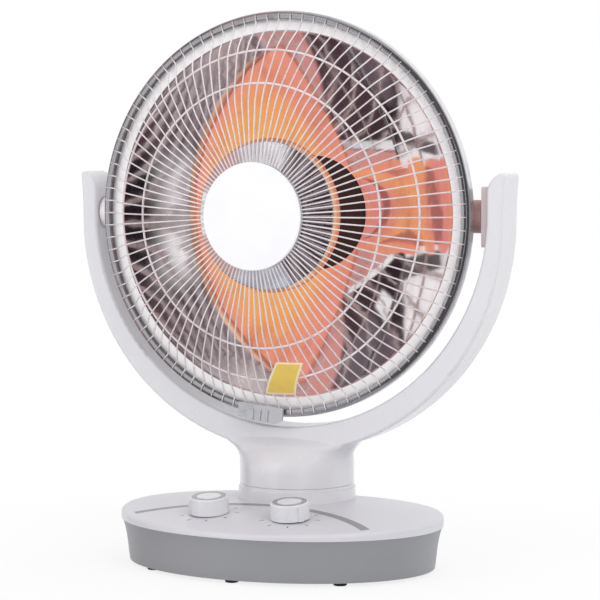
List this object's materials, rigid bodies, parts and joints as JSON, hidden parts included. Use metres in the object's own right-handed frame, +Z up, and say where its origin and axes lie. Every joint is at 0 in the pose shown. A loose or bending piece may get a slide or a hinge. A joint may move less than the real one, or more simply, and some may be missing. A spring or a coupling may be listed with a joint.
{
  "type": "radiant dish heater",
  "caption": "Electric radiant heater: a round reflector dish with a glowing element and wire guard, tilting in a fork that swings on a heavy oval base with knobs.",
  "frame": {"origin": "under the middle of the oval base, on the plane that the feet stand on", "axes": "+Z up, along the swing axis; -Y the way the head looks; +X to the right of someone facing the heater"},
  "size_m": [0.464, 0.252, 0.5475],
  "materials": {
    "skirt_plastic": "satin moulded plastic, mid grey",
    "cover_plastic": "soft gloss moulded plastic, bluish white",
    "floor_plastic": "matt moulded plastic, dark grey",
    "fastener_steel": "zinc plated steel",
    "foot_rubber": "matt black rubber",
    "ballast_iron": "plain cast iron",
    "grommet_rubber": "matt black rubber",
    "dark_plastic": "matt black moulded plastic",
    "stripe_print": "dark grey inlay, flush with the cover",
    "mark_print": "dark grey plain ticks, flush with the cover",
    "ring_plastic": "satin moulded plastic, light grey",
    "knob_plastic": "soft gloss moulded plastic, bluish white",
    "knob_ring_silver": "satin silver",
    "shaft_brass": "turned brass",
    "motor_steel": "plated steel can",
    "arm_steel": "pressed steel",
    "plunger_plastic": "matt red moulded plastic",
    "fork_plastic": "soft gloss moulded plastic, bluish white",
    "spindle_steel": "turned steel",
    "stub_plastic": "soft gloss moulded plastic, bluish white",
    "bush_plastic": "natural self-lubricating plastic",
    "rim_silver": "silver grey paint",
    "guard_chrome": "bright plated wire",
    "hub_steel": "plated steel sheet",
    "badge_plastic": "smooth white, left blank",
    "clip_silver": "silver grey paint",
    "tag_yellow": "plain yellow film, left blank",
    "dish_mirror": "polished aluminium",
    "socket_ceramic": "black fired ceramic",
    "core_ceramic": "pale fired ceramic",
    "coil_hot_wire": "resistance wire, glowing orange",
    "cap_chrome": "polished chrome",
    "housing_paint": "light grey paint"
  },
  "bodies": {
    "base": {"base_skirt": "skirt_plastic", "base_cover": "cover_plastic", "deck_collar": "cover_plastic", "base_floor": "floor_plastic", "base_screws": "fastener_steel", "rubber_feet": "foot_rubber", "ballast_plate": "ballast_iron", "cord_grommet": "grommet_rubber", "terminal_block": "dark_plastic", "panel_stripe": "stripe_print", "panel_marks": "mark_print", "swivel_ring": "ring_plastic", "timer_body": "dark_plastic", "timer_nut": "fastener_steel", "heat_switch_body": "dark_plastic", "heat_switch_nut": "fastener_steel", "swing_motor": "motor_steel", "tip_switch_body": "dark_plastic"},
    "crank": {"drive_crank": "arm_steel"},
    "column": {"fork_front": "fork_plastic", "fork_rear": "fork_plastic", "fork_screws": "fastener_steel", "neck_floor": "fork_plastic", "spindle": "spindle_steel", "spindle_screws": "fastener_steel", "spindle_retainer": "spindle_steel", "drive_arm": "arm_steel", "pivot_box": "fork_plastic", "pivot_bushes": "bush_plastic"},
    "head": {"trunnion_left": "stub_plastic", "trunnion_right": "stub_plastic", "retaining_rings": "fastener_steel", "rim_ring": "rim_silver", "wire_guard": "guard_chrome", "guard_hub_plate": "hub_steel", "hub_badge": "badge_plastic", "guard_clip": "clip_silver", "blank_tag": "tag_yellow", "reflector_dish": "dish_mirror", "element_socket": "socket_ceramic", "element_core": "core_ceramic", "heating_coil": "coil_hot_wire", "element_cap": "cap_chrome", "dish_spacer": "hub_steel", "thermal_cutout": "dark_plastic", "rear_housing": "housing_paint"},
    "timer_dial": {"timer_knob": "knob_plastic", "timer_knob_ring": "knob_ring_silver", "timer_shaft": "shaft_brass"},
    "heat_dial": {"heat_switch_knob": "knob_plastic", "heat_switch_knob_ring": "knob_ring_silver", "heat_switch_shaft": "shaft_brass"},
    "plunger": {"tip_plunger": "plunger_plastic"}
  },
  "joints": [
    {"name": "swing", "type": "hinge", "parent": "base", "child": "column", "pos_m": [0, 0.0375, 0.0775], "axis": [0, 0, 1], "range_deg": [-30, 30]},
    {"name": "crank_turn", "type": "hinge", "parent": "base", "child": "crank", "pos_m": [0, 0.0675, 0.0345], "axis": [0, 0, 1], "range_deg": [-90, 90]},
    {"name": "tilt", "type": "hinge", "parent": "column", "child": "head", "pos_m": [0, 0.0275, 0.3475], "axis": [-1, 0, 0], "range_deg": [-10, 25]},
    {"name": "timer_turn", "type": "hinge", "parent": "base", "child": "timer_dial", "pos_m": [-0.0435, -0.0685, 0.05846], "axis": [0, -0.1218, 0.9926], "range_deg": [-300, 0]},
    {"name": "heat_turn", "type": "hinge", "parent": "base", "child": "heat_dial", "pos_m": [0.0435, -0.0685, 0.05846], "axis": [0, -0.1218, 0.9926], "range_deg": [-180, 0]},
    {"name": "plunger_slide", "type": "slide", "parent": "base", "child": "plunger", "axis": [0, 0, 1], "range_m": [-0.008, 0], "stiffness_N_per_m": 50, "springref_m": -0.008}
  ],
  "couplings": [
    {"joint": "crank_turn", "follows": "swing", "ratio": 3}
  ]
}
